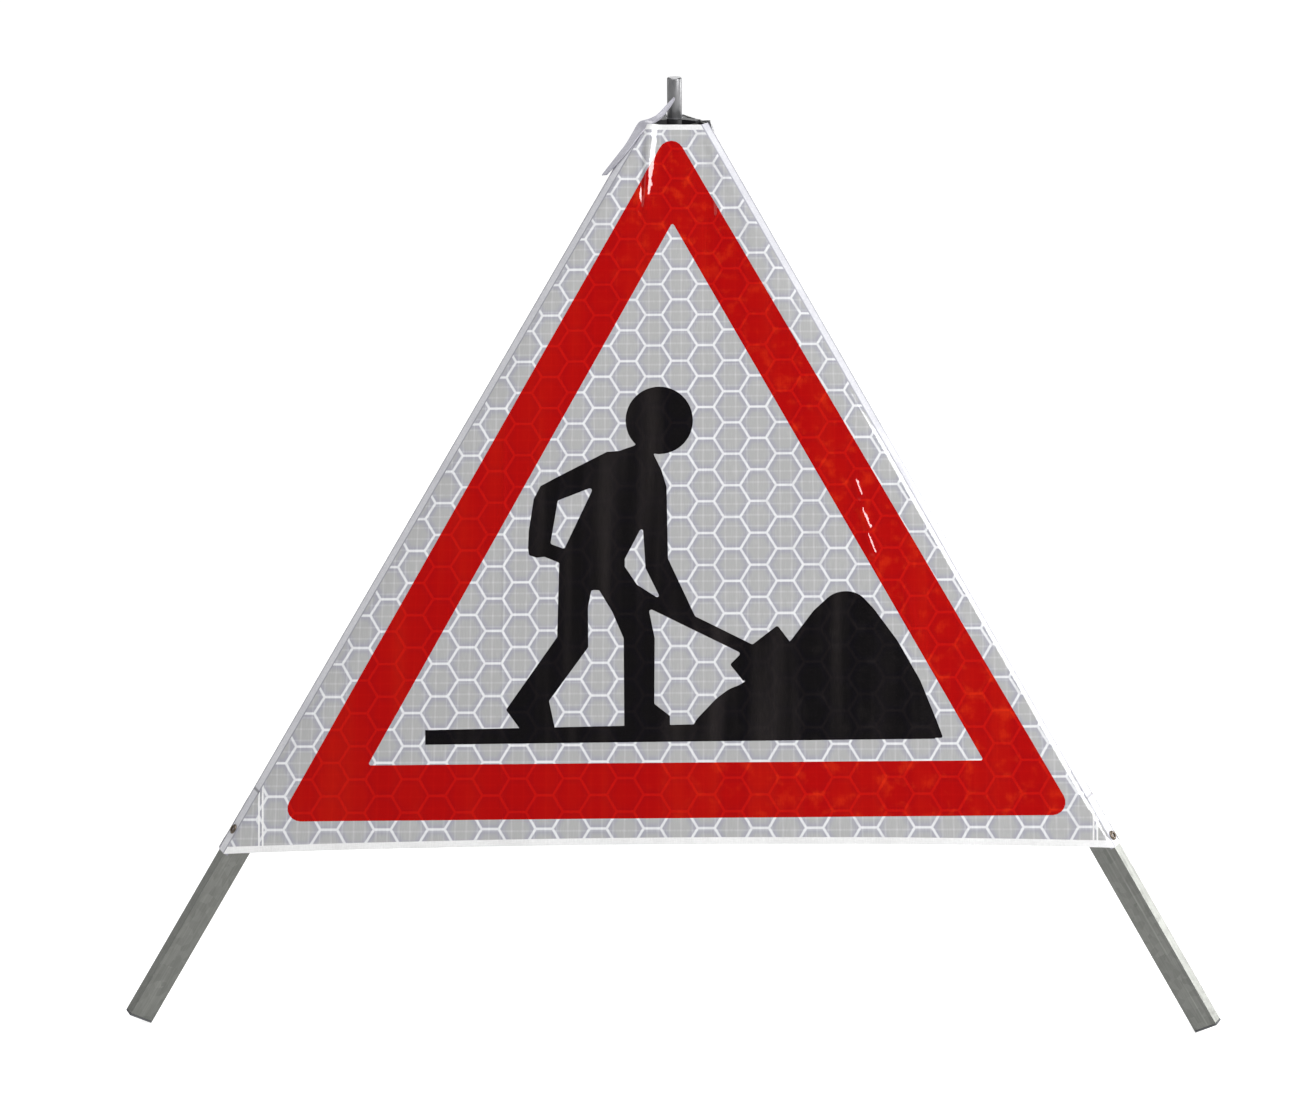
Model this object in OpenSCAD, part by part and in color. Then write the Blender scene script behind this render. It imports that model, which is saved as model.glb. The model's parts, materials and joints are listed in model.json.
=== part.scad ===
// Folding three-legged roadworks sign, standing open.
// Millimetres, +Z up. The origin is on the ground under the centre shaft,
// and the front face of the cover looks along -Y.

/* [Legs] */
// Distance from a leg's hinge pin to the end of its foot
leg_reach = 1190; // [900:5:1400]
// Depth of the leg tube, towards the shaft
leg_depth = 30; // [26:0.5:36]
// Width of the leg tube, across the corner of the sign
leg_width = 15; // [13:0.5:20]
// Wall of the leg tube
leg_wall = 1.5; // [1:0.1:2]
// Angle between a leg and the upright when the sign stands open
leg_angle = 35.26; // [33:0.01:37]
// How far a leg swings in when the sign is folded
fold_angle = 31; // [20:0.5:31]
// Length of the inner wall that is cut away below the hinge pin
leg_notch = 16; // [14:0.5:24]
// Thickness of the plastic foot under the tube
foot_flange = 2.5; // [1.5:0.1:5]
// Length of the foot's plug inside the tube
foot_plug_length = 25; // [15:1:40]

/* [Crown] */
// Wall of the crown's hub around the shaft
hub_wall = 4.5; // [3.5:0.1:6]
// Room between the hub and the rounded leg tops
hub_gap = 2.5; // [1:0.1:5]
// Height of the crown above the hinge pins
crown_rise = 18; // [14:0.5:20]
// Depth of the hub below the hinge pins
crown_drop = 28; // [24:0.5:40]
// Diameter of the hinge pins
hinge_pin_d = 8; // [6:0.1:10]
// Diameter of the hinge pins' heads
hinge_head_d = 12; // [10:0.1:13]
// Height of the hinge pins' heads
hinge_head_h = 2.2; // [1.5:0.1:3]
// Diameter of the cross pin through hub and shaft
cross_pin_d = 5; // [3:0.1:6]

/* [Shaft and lamp spigot] */
// Diameter of the centre shaft
shaft_d = 20; // [18:0.1:24]
// Wall of the centre shaft
shaft_wall = 2; // [1:0.1:3]
// Diameter of the lamp spigot on top
spigot_d = 17.2; // [16.5:0.1:18]
// Height of the lamp spigot above the crown
spigot_h = 47; // [30:0.5:80]
// Bevel on the spigot's end
spigot_bevel = 1.2; // [0.5:0.1:2]
// Length of the spigot's plug inside the shaft
spigot_plug_length = 46; // [40:1:80]
// Thickness of the stop under the shaft
stop_flange = 6; // [3:0.5:12]
// Diameter of the stop under the shaft
stop_d = 32; // [30:0.5:40]
// Length of the stop's plug inside the shaft
stop_plug_length = 30; // [15:1:50]

/* [Runner and struts] */
// Distance along the leg from its hinge pin to the strut's pivot
strut_place = 300; // [220:5:380]
// Distance from the leg's inner face to the strut's pivot
strut_offset = 11; // [10:0.1:13]
// Width of the strut bar
strut_bar = 12; // [9:0.5:13]
// Thickness of the strut bar
strut_thickness = 5; // [3:0.1:6]
// Diameter of the eyes at the strut's ends
strut_eye_d = 14; // [13:0.5:15]
// Diameter of the strut's two pins
strut_pin_d = 6; // [5:0.1:7]
// Diameter of the pins' heads
strut_head_d = 9; // [8:0.1:11]
// Height of the pins' heads
strut_head_h = 1.5; // [1:0.1:2.5]
// Wall of the runner's sleeve
runner_wall = 4.8; // [3:0.1:6]
// Height of the runner's sleeve
runner_h = 36; // [24:1:60]
// Thickness of each cheek of the runner's forks
fork_cheek = 4; // [3:0.1:5]
// Diameter of the fork's eyes
fork_eye_d = 16; // [14:0.5:18]
// Diameter of the wire of the spring under the runner
spring_wire = 3; // [2:0.1:3.2]
// Number of turns of the spring
spring_turns = 16; // [8:1:18]
// Room between the shaft and the spring
spring_room = 1; // [0.5:0.1:1.2]
// Length of the spring when the sign is folded
spring_folded = 64; // [60:1:120]

/* [Strut brackets] */
// Length of the bracket's base on the leg
bracket_length = 46; // [40:1:70]
// Thickness of the bracket's sheet
bracket_sheet = 2; // [1.5:0.1:2.3]
// Diameter of the bracket's rivets
bracket_rivet_d = 4; // [3:0.1:5]
// Diameter of the bracket rivets' heads
bracket_rivet_head_d = 7; // [6:0.1:8]
// Height of the bracket rivets' heads
bracket_rivet_head_h = 1.4; // [1:0.1:1.8]
// Distance of the bracket rivets from the base's ends
bracket_rivet_edge = 7; // [5:0.5:10]

/* [Cover] */
// Thickness of the cover
cover_thickness = 1.2; // [0.8:0.1:2]
// How far the cover rises above the hinge pins, along the leg
cover_top = 7; // [0:0.5:15]
// How far the cover reaches below the hinge pins, along the leg
cover_bottom = 968; // [700:2:1050]
// How far the lower edge bows up in the middle of a face
cover_bow = 11; // [0:0.5:25]
// Width of the middle strip of a face, between its two fold lines
cover_middle = 74.5; // [70:0.5:160]
// Distance of the cover's rivets from its lower corners
cover_rivet_up = 26; // [15:1:60]
// Diameter of the cover's rivets
cover_rivet_d = 5; // [3:0.1:6]
// Diameter of the cover rivets' heads
cover_rivet_head_d = 11; // [8:0.1:13]
// Height of the cover rivets' heads
cover_rivet_head_h = 2; // [1:0.1:3]
// Diameter of the cover rivets' closed ends inside the leg
cover_rivet_tail_d = 8; // [7:0.1:10]
// Length of the closure flap along the left leg
flap_length = 75; // [40:1:140]
// Width of the closure flap
flap_width = 14; // [10:0.5:20]
// How far the closure flap stands proud of the leg's rear side
flap_proud = 6; // [2:0.5:8]
// Length of the closure flap's pointed tongue
tongue_length = 40; // [20:1:44]
// Width of the tongue at its tip
tongue_tip = 3; // [1:0.5:6]
// Sideways reach of the tongue's tip, towards the front face
tongue_shift = 8; // [4:0.5:14]
// How far the tongue leans over the top
tongue_lean = 20; // [0:1:22]

/* [Hidden] */
$fn = 64;

// Directions of the legs and of the faces between them, seen from above
left_angle = 210;
right_angle = -30;
rear_angle = 90;
LEGS = [left_angle, right_angle, rear_angle];
front_face_angle = -90;
right_face_angle = 30;
left_face_angle = 150;
between_angle = 60;

// Clearances, and the length by which a cut runs past its piece
running_clear = 0.05;
slide_clear = 0.2;
seat_clear = 0.3;
side_clear = 0.4;
plug_clear = 0.3;
fold_gap = 0.2;
overrun = 2;

// Tapers of the pressed heads
head_taper_share = 0.7;

// Crown and hinge pins
hub_d = shaft_d + 2 * hub_wall;
hinge_radius = hub_d / 2 + hub_gap + leg_depth / 2;
arm_thickness = leg_width - 2 * leg_wall - 2 * side_clear;
arm_nose_gap = 2;
arm_nose_r = leg_depth / 2 - leg_wall - arm_nose_gap;
hinge_height = leg_reach * cos(leg_angle) + leg_depth / 2 * sin(leg_angle);
crown_top = hinge_height + crown_rise;
cross_pin_height = hinge_height - arm_nose_r - (crown_drop - arm_nose_r) / 2;

// Strut pivots. A strut is as long as the distance from hinge pin to strut pivot,
// so the runner's pins stay under the hinge pins at every angle.
pivot_depth = leg_depth / 2 + strut_offset;
pivot_out = strut_place * sin(leg_angle) - pivot_depth * cos(leg_angle);
pivot_down = strut_place * cos(leg_angle) + pivot_depth * sin(leg_angle);
strut_length = norm([pivot_out, pivot_down]);
strut_angle = atan2(pivot_out, pivot_down);
runner_height = hinge_height - 2 * pivot_down;
runner_lowest = hinge_height - 2 * strut_length * cos(strut_angle - fold_angle);
strut_slot = strut_thickness + 2 * side_clear;
bracket_eye_d = strut_eye_d;

// Shaft
runner_d = shaft_d + 2 * slide_clear + 2 * runner_wall;
shaft_bottom = runner_lowest - runner_h / 2 - spring_folded;
shaft_bore = shaft_d - 2 * shaft_wall;

// Spring between the stop and the runner: its turns lie closer at both ends
spring_r = shaft_d / 2 + spring_room + spring_wire / 2;
spring_low = shaft_bottom + seat_clear + spring_wire / 2;
spring_high = runner_height - runner_h / 2 - seat_clear - spring_wire / 2;
spring_closing_share = 0.58;
spring_rings = 8;
spring_sides = 6;

// Legs
tube_length = leg_reach - foot_flange;
bore_depth = leg_depth - 2 * leg_wall;
bore_width = leg_width - 2 * leg_wall;

// Apex of a face, where the near edges of its two legs meet
face_lean = atan(tan(leg_angle) * cos(between_angle));
face_half_angle = asin(sin(leg_angle) * sin(between_angle));
legs_apex = hinge_height + leg_depth / 2 * sin(leg_angle)
    + (hinge_radius + leg_depth / 2 * cos(leg_angle)) / tan(leg_angle);
face_apex_radius = leg_width / 2 / sin(between_angle);
face_apex_height = legs_apex - leg_width / 2 / tan(between_angle) / tan(leg_angle);
hinge_from_apex = (face_apex_height - hinge_height - leg_depth / 2 * sin(leg_angle)) / cos(leg_angle);
face_top = (hinge_from_apex - cover_top) * cos(face_half_angle);
face_bottom = (hinge_from_apex + cover_bottom) * cos(face_half_angle);
bow_steps = 8;

// Frame of a leg: X out of its outer face, Z up along the tube, origin on the hinge pin
module on_leg(azimuth) {
    rotate([0, 0, azimuth])
        translate([hinge_radius, 0, hinge_height])
            rotate([0, -leg_angle, 0])
                children();
}

// Frame of a strut: Z along the bar, origin on the runner's pin
module on_strut(azimuth) {
    rotate([0, 0, azimuth])
        translate([hinge_radius, 0, runner_height])
            rotate([0, strut_angle, 0])
                children();
}

// Frame of a face: X out of the face, Z up its slope, origin on its apex
module on_face(azimuth) {
    rotate([0, 0, azimuth])
        translate([face_apex_radius, 0, face_apex_height])
            rotate([0, -face_lean, 0])
                children();
}

// Round bar along Y, centred
module cross_bar(d, length) {
    rotate([90, 0, 0])
        cylinder(d = d, h = length, center = true);
}

// Pressed head that tapers away from its seat, along +Z
module pressed_head(d, h) {
    cylinder(d1 = d, d2 = d * head_taper_share, h = h);
}

// Pin along Y with a pressed head at each end of its grip
module headed_pin(d, grip, head_d, head_h) {
    cross_bar(d, grip);
    for (side = [-1, 1])
        rotate([side * 90, 0, 0])
            translate([0, 0, grip / 2])
                pressed_head(head_d, head_h);
}

// Flat plate in the XZ plane, from the origin along X, with a round end
module eye_plate(reach, thickness, eye_d) {
    translate([0, -thickness / 2, -eye_d / 2])
        cube([reach, thickness, eye_d]);
    translate([reach, 0, 0])
        cross_bar(eye_d, thickness);
}

module crown() {
    color("#26282a")
        difference() {
            union() {
                translate([0, 0, hinge_height - crown_drop])
                    cylinder(d = hub_d, h = crown_drop + crown_rise);
                for (azimuth = LEGS)
                    rotate([0, 0, azimuth])
                        crown_arm();
            }
            translate([0, 0, hinge_height - crown_drop - overrun])
                cylinder(d = shaft_d + 2 * running_clear, h = crown_drop + crown_rise + 2 * overrun);
            for (azimuth = LEGS)
                rotate([0, 0, azimuth])
                    translate([hinge_radius, 0, hinge_height])
                        cross_bar(hinge_pin_d + 2 * running_clear, leg_width);
            translate([0, 0, cross_pin_height])
                cross_bar(cross_pin_d + 2 * running_clear, hub_d + 2 * overrun);
        }
}

// Arm that reaches into the notched top of a leg
module crown_arm() {
    translate([0, -arm_thickness / 2, hinge_height - arm_nose_r])
        cube([hinge_radius, arm_thickness, arm_nose_r + crown_rise]);
    translate([hinge_radius, 0, hinge_height])
        cross_bar(2 * arm_nose_r, arm_thickness);
}

module crown_cross_pin() {
    color("#9a9d9e")
        translate([0, 0, cross_pin_height])
            cross_bar(cross_pin_d, hub_d);
}

module lamp_spigot() {
    color("#8b8f90")
        difference() {
            translate([0, 0, crown_top]) {
                cylinder(d = spigot_d, h = spigot_h - spigot_bevel);
                translate([0, 0, spigot_h - spigot_bevel])
                    cylinder(d1 = spigot_d, d2 = spigot_d - 2 * spigot_bevel, h = spigot_bevel);
                translate([0, 0, -spigot_plug_length])
                    cylinder(d = shaft_bore - 2 * running_clear, h = spigot_plug_length);
            }
            translate([0, 0, cross_pin_height])
                cross_bar(cross_pin_d + 2 * running_clear, shaft_d);
        }
}

module centre_shaft() {
    color("#8b8f90")
        difference() {
            translate([0, 0, shaft_bottom])
                cylinder(d = shaft_d, h = crown_top - shaft_bottom);
            translate([0, 0, shaft_bottom - overrun])
                cylinder(d = shaft_bore, h = crown_top - shaft_bottom + 2 * overrun);
            translate([0, 0, cross_pin_height])
                cross_bar(cross_pin_d + 2 * running_clear, shaft_d + 2 * overrun);
        }
}

module shaft_stop() {
    color("#26282a") {
        translate([0, 0, shaft_bottom - stop_flange])
            cylinder(d = stop_d, h = stop_flange);
        translate([0, 0, shaft_bottom])
            cylinder(d = shaft_bore - 2 * running_clear, h = stop_plug_length);
    }
}

module leg_hinge_pins() {
    color("#9a9d9e")
        for (azimuth = LEGS)
            rotate([0, 0, azimuth])
                translate([hinge_radius, 0, hinge_height])
                    headed_pin(hinge_pin_d, leg_width + 2 * seat_clear, hinge_head_d, hinge_head_h);
}

module leg(azimuth) {
    color("#8f9390")
        on_leg(azimuth)
            difference() {
                union() {
                    translate([-leg_depth / 2, -leg_width / 2, -tube_length])
                        cube([leg_depth, leg_width, tube_length]);
                    cross_bar(leg_depth, leg_width);
                }
                translate([-bore_depth / 2, -bore_width / 2, -tube_length - overrun])
                    cube([bore_depth, bore_width, tube_length + leg_depth]);
                translate([-leg_depth / 2 - overrun, -bore_width / 2, -leg_notch])
                    cube([leg_depth / 2, bore_width, leg_notch + leg_depth]);
                cross_bar(hinge_pin_d + 2 * running_clear, leg_width + 2 * overrun);
                bracket_rivet_holes(-leg_depth / 2 - overrun);
                translate([bore_depth / 2 - overrun, 0, -cover_bottom + cover_rivet_up])
                    rotate([0, 90, 0])
                        cylinder(d = cover_rivet_d + 2 * running_clear, h = leg_wall + 2 * overrun);
            }
}

// Holes for the bracket's rivets, drilled along X from the given start
module bracket_rivet_holes(start) {
    for (side = [-1, 1])
        translate([start, 0, -strut_place + side * (bracket_length / 2 - bracket_rivet_edge)])
            rotate([0, 90, 0])
                cylinder(d = bracket_rivet_d + 2 * running_clear, h = leg_wall + 2 * overrun);
}

module foot(azimuth) {
    color("#55595a")
        on_leg(azimuth)
            translate([0, 0, -tube_length]) {
                translate([-leg_depth / 2, -leg_width / 2, -foot_flange])
                    cube([leg_depth, leg_width, foot_flange]);
                translate([plug_clear - bore_depth / 2, plug_clear - bore_width / 2, 0])
                    cube([bore_depth - 2 * plug_clear, bore_width - 2 * plug_clear, foot_plug_length]);
            }
}

module strut_bracket(azimuth) {
    color("#a2a6a6")
        on_leg(azimuth)
            difference() {
                translate([-leg_depth / 2, 0, -strut_place])
                    union() {
                        translate([-bracket_sheet, -leg_width / 2, -bracket_length / 2])
                            cube([bracket_sheet, leg_width, bracket_length]);
                        for (side = [-1, 1])
                            translate([0, side * (strut_slot + bracket_sheet) / 2, 0])
                                rotate([0, 180, 0])
                                    eye_plate(strut_offset, bracket_sheet, bracket_eye_d);
                    }
                translate([-pivot_depth, 0, -strut_place])
                    cross_bar(strut_pin_d + 2 * running_clear, leg_width);
                bracket_rivet_holes(-leg_depth / 2 - bracket_sheet - overrun);
            }
}

module bracket_rivets(azimuth) {
    color("#9a9d9e")
        on_leg(azimuth)
            for (side = [-1, 1])
                translate([0, 0, -strut_place + side * (bracket_length / 2 - bracket_rivet_edge)]) {
                    translate([-leg_depth / 2 - bracket_sheet, 0, 0])
                        rotate([0, 90, 0])
                            cylinder(d = bracket_rivet_d, h = bracket_sheet + leg_wall);
                    translate([-leg_depth / 2 - bracket_sheet, 0, 0])
                        rotate([0, -90, 0])
                            pressed_head(bracket_rivet_head_d, bracket_rivet_head_h);
                    translate([-bore_depth / 2, 0, 0])
                        rotate([0, 90, 0])
                            pressed_head(bracket_rivet_head_d, bracket_rivet_head_h);
                }
}

module bracket_pin(azimuth) {
    color("#9a9d9e")
        on_leg(azimuth)
            translate([-pivot_depth, 0, -strut_place])
                headed_pin(strut_pin_d, strut_slot + 2 * bracket_sheet, strut_head_d, strut_head_h);
}

module strut(azimuth) {
    color("#a2a6a6")
        on_strut(azimuth)
            difference() {
                union() {
                    translate([-strut_bar / 2, -strut_thickness / 2, 0])
                        cube([strut_bar, strut_thickness, strut_length]);
                    for (place = [0, strut_length])
                        translate([0, 0, place])
                            cross_bar(strut_eye_d, strut_thickness);
                }
                for (place = [0, strut_length])
                    translate([0, 0, place])
                        cross_bar(strut_pin_d + 2 * running_clear, strut_thickness + 2 * overrun);
            }
}

module runner() {
    color("#26282a")
        translate([0, 0, runner_height])
            difference() {
                union() {
                    cylinder(d = runner_d, h = runner_h, center = true);
                    for (azimuth = LEGS, side = [-1, 1])
                        rotate([0, 0, azimuth])
                            translate([0, side * (strut_slot + fork_cheek) / 2, 0])
                                eye_plate(hinge_radius, fork_cheek, fork_eye_d);
                }
                cylinder(d = shaft_d + 2 * slide_clear, h = runner_h + 2 * overrun, center = true);
                for (azimuth = LEGS)
                    rotate([0, 0, azimuth])
                        translate([hinge_radius, 0, 0])
                            cross_bar(strut_pin_d + 2 * running_clear, strut_slot + 2 * fork_cheek + overrun);
            }
}

module runner_pins() {
    color("#9a9d9e")
        for (azimuth = LEGS)
            rotate([0, 0, azimuth])
                translate([hinge_radius, 0, runner_height])
                    headed_pin(strut_pin_d, strut_slot + 2 * fork_cheek, strut_head_d, strut_head_h);
}

// Point of the spring's wire after a number of turns
function spring_point(turns) =
    let (share = turns / spring_turns)
    let (climb_share = share - spring_closing_share * sin(360 * share) / (2 * PI))
    [
        spring_r * cos(360 * turns),
        spring_r * sin(360 * turns),
        spring_low + (spring_high - spring_low) * climb_share
    ];

// Centre line of the wire, straight for one wire diameter at each end
spring_line = [
    spring_point(0) - [0, spring_wire, 0],
    for (ring = [0:spring_turns * spring_rings])
        spring_point(ring / spring_rings),
    spring_point(spring_turns) + [0, spring_wire, 0]
];

// Least gap between two neighbouring turns of the wire
spring_gap = min([
    for (ring = [1:len(spring_line) - 2 - spring_rings])
        norm(spring_line[ring + spring_rings] - spring_line[ring])
]) - spring_wire;
echo(spring_gap = spring_gap);

// Ring of points around one point of the wire, square to the turn
function spring_ring(centre, turn_angle) = [
    for (side = [0:spring_sides - 1])
        let (angle = 360 * side / spring_sides)
        centre + spring_wire / 2 * [
            cos(angle) * cos(turn_angle),
            cos(angle) * sin(turn_angle),
            sin(angle)
        ]
];

module runner_spring() {
    last = len(spring_line) - 1;
    corner = spring_sides;
    points = [
        for (ring = [0:last])
            let (turn_ring = min(max(ring - 1, 0), last - 2))
            each spring_ring(spring_line[ring], 360 * turn_ring / spring_rings)
    ];
    walls = [
        for (ring = [0:last - 1], side = [0:corner - 1])
            let (low = ring * corner + side)
            let (next = ring * corner + (side + 1) % corner)
            each [[low, next, low + corner], [next, next + corner, low + corner]]
    ];
    caps = [
        for (side = [1:corner - 2])
            each [
                [0, side + 1, side],
                [last * corner, last * corner + side, last * corner + side + 1]
            ]
    ];
    color("#7f8384")
        polyhedron(points = points, faces = concat(walls, caps));
}

// Strip of the cover over the outer face of a leg
module cover_edge(azimuth) {
    color("#c4c6c4")
        on_leg(azimuth)
            difference() {
                translate([leg_depth / 2 + seat_clear, -leg_width / 2, -cover_bottom])
                    cube([cover_thickness, leg_width, cover_bottom + cover_top]);
                translate([leg_depth / 2, 0, -cover_bottom + cover_rivet_up])
                    rotate([0, 90, 0])
                        cylinder(d = cover_rivet_d + 2 * running_clear, h = cover_thickness + overrun);
            }
}

module cover_rivet(azimuth) {
    color("#7c8080")
        on_leg(azimuth)
            translate([0, 0, -cover_bottom + cover_rivet_up]) {
                translate([bore_depth / 2, 0, 0])
                    rotate([0, 90, 0])
                        cylinder(d = cover_rivet_d, h = leg_wall + seat_clear + cover_thickness);
                translate([leg_depth / 2 + seat_clear + cover_thickness, 0, 0])
                    rotate([0, 90, 0])
                        pressed_head(cover_rivet_head_d, cover_rivet_head_h);
                translate([bore_depth / 2, 0, 0])
                    rotate([0, -90, 0])
                        pressed_head(cover_rivet_tail_d, cover_rivet_head_h);
            }
}

// Loose overlap at the top of the left corner, with a pointed tongue over the opening
module closure_flap() {
    flap_rear = -leg_width / 2 - flap_proud;
    color("#d6d7d3")
        on_leg(left_angle)
            translate([leg_depth / 2 + seat_clear + cover_thickness, 0, cover_top]) {
                translate([0, flap_rear, -flap_length])
                    cube([cover_thickness, flap_width, flap_length]);
                rotate([0, -tongue_lean, 0])
                    rotate([90, 0, 90])
                        linear_extrude(cover_thickness)
                            polygon([
                                [-leg_width / 2, -cover_thickness],
                                [flap_rear + flap_width, -cover_thickness],
                                [tongue_shift + tongue_tip / 2, tongue_length],
                                [tongue_shift - tongue_tip / 2, tongue_length]
                            ]);
            }
}

// Half the width of a face between its two leg edges, at a depth below its apex
function half_face(depth) = depth * tan(face_half_angle) - seat_clear;

// Depth at which half the face has the given width
function depth_at(half_width) = (half_width + seat_clear) / tan(face_half_angle);

// Points of the bowed lower edge, from one place across the face to another
function lower_edge(from, to) = [
    for (step = [0:bow_steps])
        let (across = from + (to - from) * step / bow_steps)
        let (share = across / half_face(face_bottom))
        [across, cover_bow * (1 - pow(share, 2)) - face_bottom]
];

// Sheet of the cover that lies on a face, with its outline given across and up the face
module face_sheet(azimuth, outline) {
    color("#c4c6c4")
        on_face(azimuth)
            translate([seat_clear, 0, 0])
                rotate([90, 0, 90])
                    linear_extrude(cover_thickness)
                        polygon(outline);
}

// Middle strip of a face, between its two fold lines
module cover_middle_strip(azimuth) {
    half = cover_middle / 2;
    face_sheet(azimuth, concat(
        [[half, -depth_at(half)],
         [half_face(face_top), -face_top],
         [-half_face(face_top), -face_top],
         [-half, -depth_at(half)]],
        lower_edge(-half, half)
    ));
}

// Wing of a face, from a fold line to the edge of a leg.
// The side is -1 on the left of the face seen from outside, and 1 on its right.
module cover_wing(azimuth, side) {
    fold_line = cover_middle / 2 + fold_gap;
    face_sheet(azimuth, concat(
        [[side * fold_line, -depth_at(fold_line)]],
        lower_edge(side * half_face(face_bottom), side * fold_line)
    ));
}

crown();
crown_cross_pin();
lamp_spigot();
centre_shaft();
shaft_stop();
leg_hinge_pins();
leg(left_angle);  // leg_left
leg(right_angle);  // leg_right
leg(rear_angle);  // leg_rear
foot(left_angle);  // foot_left
foot(right_angle);  // foot_right
foot(rear_angle);  // foot_rear
strut_bracket(left_angle);  // strut_bracket_left
strut_bracket(right_angle);  // strut_bracket_right
strut_bracket(rear_angle);  // strut_bracket_rear
bracket_rivets(left_angle);  // bracket_rivets_left
bracket_rivets(right_angle);  // bracket_rivets_right
bracket_rivets(rear_angle);  // bracket_rivets_rear
bracket_pin(left_angle);  // bracket_pin_left
bracket_pin(right_angle);  // bracket_pin_right
bracket_pin(rear_angle);  // bracket_pin_rear
strut(left_angle);  // strut_left
strut(right_angle);  // strut_right
strut(rear_angle);  // strut_rear
runner();
runner_pins();
runner_spring();
cover_edge(left_angle);  // cover_edge_left
cover_edge(right_angle);  // cover_edge_right
cover_edge(rear_angle);  // cover_edge_rear
cover_rivet(left_angle);  // cover_rivet_left
cover_rivet(right_angle);  // cover_rivet_right
cover_rivet(rear_angle);  // cover_rivet_rear
closure_flap();
cover_middle_strip(front_face_angle);  // front_cover_middle
cover_wing(front_face_angle, -1);  // front_cover_left
cover_wing(front_face_angle, 1);  // front_cover_right
cover_middle_strip(right_face_angle);  // right_cover_middle
cover_wing(right_face_angle, -1);  // right_cover_front
cover_wing(right_face_angle, 1);  // right_cover_rear
cover_middle_strip(left_face_angle);  // left_cover_middle
cover_wing(left_face_angle, -1);  // left_cover_rear
cover_wing(left_face_angle, 1);  // left_cover_front
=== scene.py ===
# %% [markdown]
# # A folding roadworks sign
#
# Three tube legs hinge on a crown, and a runner with three struts holds them apart, as in an umbrella.
# A reflective cover with a printed warning triangle is stretched over the legs. The metal and plastic
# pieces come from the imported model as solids. This lesson gives them their finishes, and builds the
# cover, its rivets and the spring as meshes. All sizes are metres, Z is up, and the front looks
# along -Y.

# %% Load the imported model
import json
import math
import bpy
from mathutils import Matrix, Vector
from mathutils.geometry import delaunay_2d_cdt


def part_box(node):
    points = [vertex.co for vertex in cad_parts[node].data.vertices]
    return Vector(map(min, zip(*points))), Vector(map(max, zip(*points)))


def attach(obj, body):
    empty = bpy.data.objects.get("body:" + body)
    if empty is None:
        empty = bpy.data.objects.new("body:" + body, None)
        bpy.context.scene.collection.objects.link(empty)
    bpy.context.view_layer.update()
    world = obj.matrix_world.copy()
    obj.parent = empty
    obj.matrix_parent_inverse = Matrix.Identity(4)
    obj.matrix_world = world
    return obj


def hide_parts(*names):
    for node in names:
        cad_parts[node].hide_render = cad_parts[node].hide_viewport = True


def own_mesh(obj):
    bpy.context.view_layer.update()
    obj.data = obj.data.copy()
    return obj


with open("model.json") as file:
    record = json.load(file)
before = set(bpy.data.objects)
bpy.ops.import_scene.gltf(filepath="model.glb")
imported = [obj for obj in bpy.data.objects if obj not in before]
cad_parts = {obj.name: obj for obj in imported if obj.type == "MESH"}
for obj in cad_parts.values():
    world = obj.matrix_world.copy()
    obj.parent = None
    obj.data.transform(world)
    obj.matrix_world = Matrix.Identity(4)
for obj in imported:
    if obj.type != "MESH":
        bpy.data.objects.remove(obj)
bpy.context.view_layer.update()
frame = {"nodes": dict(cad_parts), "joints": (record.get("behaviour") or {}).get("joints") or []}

scene = bpy.context.scene
joints = {joint["name"]: joint for joint in frame["joints"]}

# %% [markdown]
# ## The camera
#
# A camera is worth setting first, because every later choice is judged through it. The place and the
# lens were found by fitting the corners of the sign: a long lens, about three metres away and a little
# above the sign, so the front face is seen almost square on.

# %% Camera
camera_place = Vector((0.0617, -2.9742, 1.5271))
camera_aim = Vector((-0.0176, -0.150, 0.5182))
camera_roll = math.radians(-0.29)

camera_data = bpy.data.cameras.new("camera")
camera_data.sensor_width = 36
camera_data.lens = 69.88
camera = bpy.data.objects.new("camera", camera_data)
scene.collection.objects.link(camera)
look = (camera_aim - camera_place).to_track_quat("-Z", "Y").to_matrix().to_4x4()
camera.matrix_world = Matrix.Translation(camera_place) @ look @ Matrix.Rotation(camera_roll, 4, "Z")
scene.camera = camera
print("camera", round((camera_aim - camera_place).length, 2), "m from its aim")

# %% [markdown]
# ## Writing shaders as sums
#
# A finish is a small net of nodes. Placing each node by hand is slow to write and hard to read, so one
# class wraps a socket and lets it be added, subtracted and multiplied with the usual signs. Each sign
# adds one Math node. Every other node comes from the method node.

# %% Sockets that can be added and multiplied
class Wire:
    """A node's output socket. Signs between wires and numbers add Math nodes."""

    def __init__(self, tree, socket=None):
        self.tree = tree
        self.socket = socket

    def node(self, kind, settings=None, sockets=None, output=0):
        made = self.tree.nodes.new(kind)
        for name, value in (settings or {}).items():
            setattr(made, name, value)
        for name, value in (sockets or {}).items():
            if isinstance(value, Wire):
                self.tree.links.new(value.socket, made.inputs[name])
            else:
                made.inputs[name].default_value = value
        return Wire(self.tree, made.outputs[output]) if made.outputs else None

    def math(self, operation, first, second=0.0):
        return self.node("ShaderNodeMath", {"operation": operation}, {0: first, 1: second})

    def __add__(self, other):
        return self.math("ADD", self, other)

    def __sub__(self, other):
        return self.math("SUBTRACT", self, other)

    def __rsub__(self, other):
        return self.math("SUBTRACT", other, self)

    def __mul__(self, other):
        return self.math("MULTIPLY", self, other)

    __radd__ = __add__
    __rmul__ = __mul__


print("wires ready")


# %% Start and end of a finish
def start_finish(name):
    material = bpy.data.materials.new(name)
    material.use_nodes = True
    material.node_tree.nodes.clear()
    place = Wire(material.node_tree).node("ShaderNodeTexCoord", output="Object")
    return material, place


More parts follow.
